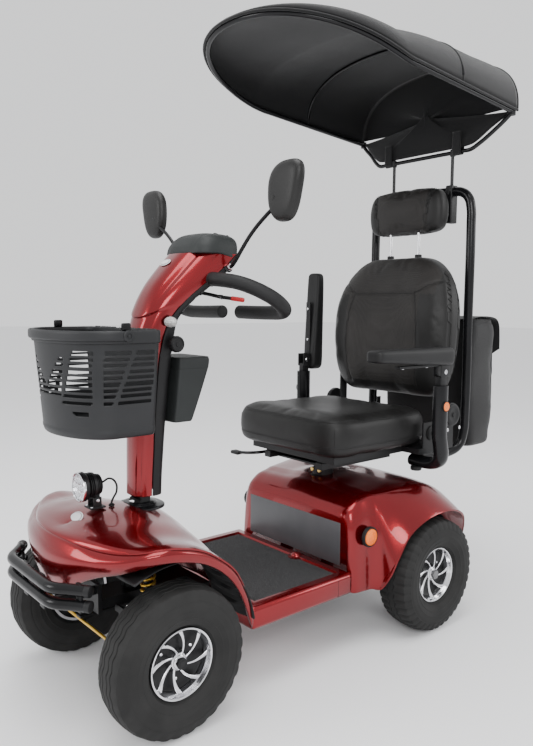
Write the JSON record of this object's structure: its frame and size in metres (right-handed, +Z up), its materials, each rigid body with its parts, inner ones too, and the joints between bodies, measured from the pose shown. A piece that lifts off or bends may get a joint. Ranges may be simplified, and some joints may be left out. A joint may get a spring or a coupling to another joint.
{
  "type": "mobility scooter",
  "caption": "Four-wheel mobility scooter with a tiller, front basket, swivel armchair seat, rear bag and a sun canopy.",
  "frame": {"origin": "on the ground below the middle of the scooter's box", "axes": "forward is -Y, the rider's left is +X, +Z up"},
  "size_m": [0.738, 1.733, 1.8682],
  "materials": {
    "red_paint": "candy red metallic lacquer",
    "black_steel": "satin black powder coat",
    "black_plastic": "fine grained moulded",
    "grey_plastic": "fine grained moulded",
    "tyre_rubber": "moulded tread",
    "alloy": "machined and polished",
    "cast_grey": "painted casting",
    "zinc": "yellow zinc plate",
    "leather_black": "stitched upholstery",
    "fabric_black": "woven polyester",
    "carpet": "looped pile",
    "orange_lens": "moulded prisms",
    "clear_lens": "clear moulded"
  },
  "bodies": {
    "root": {"main_frame": "black_steel", "floor_pan": "red_paint", "floor_mat": "carpet", "battery_pack": "black_plastic", "transaxle": "cast_grey", "shock_left": "zinc", "shock_right": "zinc", "front_fender": "red_paint", "front_hood": "red_paint", "tiller_boot": "black_plastic", "front_bumper": "black_steel", "rear_shroud": "red_paint", "side_reflector_left": "orange_lens", "side_reflector_right": "orange_lens", "seat_post": "cast_grey", "headlight_bracket": "black_steel", "headlight_cable": "black_plastic"},
    "arm_left": {"front_arm_left": "black_steel"},
    "arm_right": {"front_arm_right": "black_steel"},
    "knuckle_left": {"knuckle_left": "black_steel"},
    "knuckle_right": {"knuckle_right": "black_steel"},
    "tie_rod": {"tie_rod": "zinc"},
    "front_wheel_left": {"front_left_tyre": "tyre_rubber", "front_left_rim": "alloy"},
    "front_wheel_right": {"front_right_tyre": "tyre_rubber", "front_right_rim": "alloy"},
    "rear_wheel_left": {"rear_left_tyre": "tyre_rubber", "rear_left_rim": "alloy"},
    "rear_wheel_right": {"rear_right_tyre": "tyre_rubber", "rear_right_rim": "alloy"},
    "steering": {"steering_column": "black_steel"},
    "tiller": {"tiller_tube": "black_steel", "tiller_front_shell": "red_paint", "tiller_rear_shell": "black_plastic", "console_cap": "grey_plastic", "storage_box": "grey_plastic", "handlebar": "black_plastic", "indicator_left": "clear_lens", "indicator_right": "clear_lens"},
    "tilt_knob": {"tiller_knob": "black_plastic"},
    "throttle": {"throttle_lever": "black_plastic"},
    "basket": {"basket": "black_plastic"},
    "basket_handle": {"basket_handle": "black_plastic"},
    "mirror_left": {"mirror_left": "black_steel"},
    "mirror_right": {"mirror_right": "black_steel"},
    "headlight": {"headlight": "black_plastic"},
    "swivel": {"seat_rails": "black_steel"},
    "seat": {"seat_frame": "black_steel", "seat_cushion": "leather_black", "arm_upright_left": "black_steel", "arm_upright_right": "black_steel", "seat_back_tube": "black_steel", "rear_bag": "fabric_black"},
    "seat_lever": {"seat_lever": "black_steel"},
    "back": {"backrest": "leather_black"},
    "headrest": {"headrest": "leather_black"},
    "arm_pad_left": {"armrest_left": "black_plastic"},
    "arm_pad_right": {"armrest_right": "black_plastic"},
    "canopy": {"canopy_frame": "black_steel", "canopy_fabric": "fabric_black"}
  },
  "joints": [
    {"name": "steering", "type": "hinge", "parent": "root", "child": "steering", "pos_m": [0, -0.545, 0.522], "axis": [0, 0.1392, 0.9903], "range_deg": [-35, 35]},
    {"name": "tiller_tilt", "type": "hinge", "parent": "steering", "child": "tiller", "pos_m": [0, -0.545, 0.522], "axis": [1, 0, 0], "range_deg": [-14, 10]},
    {"name": "suspension_left", "type": "hinge", "parent": "root", "child": "arm_left", "pos_m": [0.0605, -0.617, 0.205], "axis": [0, -1, 0], "range_deg": [0, 6], "stiffness_Nm_per_rad": 300, "springref_deg": -20.05, "deforming": ["shock_left"]},
    {"name": "kingpin_left", "type": "hinge", "parent": "arm_left", "child": "knuckle_left", "pos_m": [0.205, -0.617, 0.18], "axis": [0, 0, 1], "range_deg": [-35, 35]},
    {"name": "front_wheel_left_spin", "type": "hinge", "parent": "knuckle_left", "child": "front_wheel_left", "pos_m": [0.27, -0.617, 0.18], "axis": [1, 0, 0], "continuous": true},
    {"name": "suspension_right", "type": "hinge", "parent": "root", "child": "arm_right", "pos_m": [-0.0605, -0.617, 0.205], "axis": [0, 1, 0], "range_deg": [0, 6], "stiffness_Nm_per_rad": 300, "springref_deg": -20.05, "deforming": ["shock_right"]},
    {"name": "kingpin_right", "type": "hinge", "parent": "arm_right", "child": "knuckle_right", "pos_m": [-0.205, -0.617, 0.18], "axis": [0, 0, 1], "range_deg": [-35, 35]},
    {"name": "front_wheel_right_spin", "type": "hinge", "parent": "knuckle_right", "child": "front_wheel_right", "pos_m": [-0.27, -0.617, 0.18], "axis": [1, 0, 0], "continuous": true},
    {"name": "rear_wheel_left_spin", "type": "hinge", "parent": "root", "child": "rear_wheel_left", "pos_m": [0.31, 0.297, 0.176], "axis": [1, 0, 0], "continuous": true},
    {"name": "rear_wheel_right_spin", "type": "hinge", "parent": "root", "child": "rear_wheel_right", "pos_m": [-0.31, 0.297, 0.176], "axis": [1, 0, 0], "continuous": true},
    {"name": "tie_rod_slide", "type": "slide", "parent": "root", "child": "tie_rod", "axis": [1, 0, 0], "range_m": [-0.063, 0.063]},
    {"name": "tilt_knob_turn", "type": "hinge", "parent": "tiller", "child": "tilt_knob", "pos_m": [0.0605, -0.479, 0.908], "axis": [1, 0, 0], "range_deg": [-45, 45]},
    {"name": "throttle_turn", "type": "hinge", "parent": "tiller", "child": "throttle", "pos_m": [0, -0.355, 1.044], "axis": [0, 0, 1], "range_deg": [-18, 18], "stiffness_Nm_per_rad": 0.6},
    {"name": "basket_lift", "type": "slide", "parent": "tiller", "child": "basket", "axis": [0, 0, 1], "range_m": [0, 0.05]},
    {"name": "basket_handle_lift", "type": "hinge", "parent": "basket", "child": "basket_handle", "pos_m": [0, -0.685, 0.938], "axis": [-1, 0, 0], "range_deg": [0, 100]},
    {"name": "mirror_left_turn", "type": "hinge", "parent": "tiller", "child": "mirror_left", "pos_m": [0.099, -0.325, 1.11], "axis": [0, 0, 1], "range_deg": [-30, 30]},
    {"name": "mirror_right_turn", "type": "hinge", "parent": "tiller", "child": "mirror_right", "pos_m": [-0.099, -0.325, 1.11], "axis": [0, 0, 1], "range_deg": [-30, 30]},
    {"name": "headlight_tilt", "type": "hinge", "parent": "root", "child": "headlight", "pos_m": [0, -0.679, 0.5155], "axis": [1, 0, 0], "range_deg": [-12, 12], "deforming": ["headlight_cable"]},
    {"name": "seat_swivel", "type": "hinge", "parent": "root", "child": "swivel", "pos_m": [0, 0.141, 0.51], "axis": [0, 0, 1], "range_deg": [-90, 90]},
    {"name": "seat_slide", "type": "slide", "parent": "swivel", "child": "seat", "axis": [0, -1, 0], "range_m": [-0.06, 0.06]},
    {"name": "seat_lever_lift", "type": "hinge", "parent": "seat", "child": "seat_lever", "pos_m": [-0.15, 0.037, 0.522], "axis": [0, 1, 0], "range_deg": [0, 15], "stiffness_Nm_per_rad": 1.5, "springref_deg": -17.19},
    {"name": "back_fold", "type": "hinge", "parent": "seat", "child": "back", "pos_m": [0, 0.467, 0.655], "axis": [1, 0, 0], "range_deg": [0, 35]},
    {"name": "headrest_height", "type": "slide", "parent": "back", "child": "headrest", "axis": [0, 0, 1], "range_m": [0, 0.06]},
    {"name": "armrest_left_flip", "type": "hinge", "parent": "seat", "child": "arm_pad_left", "pos_m": [0.312, 0.343, 0.808], "axis": [-1, 0, 0], "range_deg": [0, 90]},
    {"name": "armrest_right_flip", "type": "hinge", "parent": "seat", "child": "arm_pad_right", "pos_m": [-0.312, 0.343, 0.808], "axis": [1, 0, 0], "range_deg": [0, 90]},
    {"name": "canopy_height", "type": "slide", "parent": "seat", "child": "canopy", "axis": [0, 0, 1], "range_m": [0, 0.05]}
  ],
  "couplings": [
    {"joint": "kingpin_left", "follows": "steering", "ratio": 1},
    {"joint": "kingpin_right", "follows": "steering", "ratio": 1},
    {"joint": "tie_rod_slide", "follows": "steering", "m_per_rad": 0.1025}
  ]
}
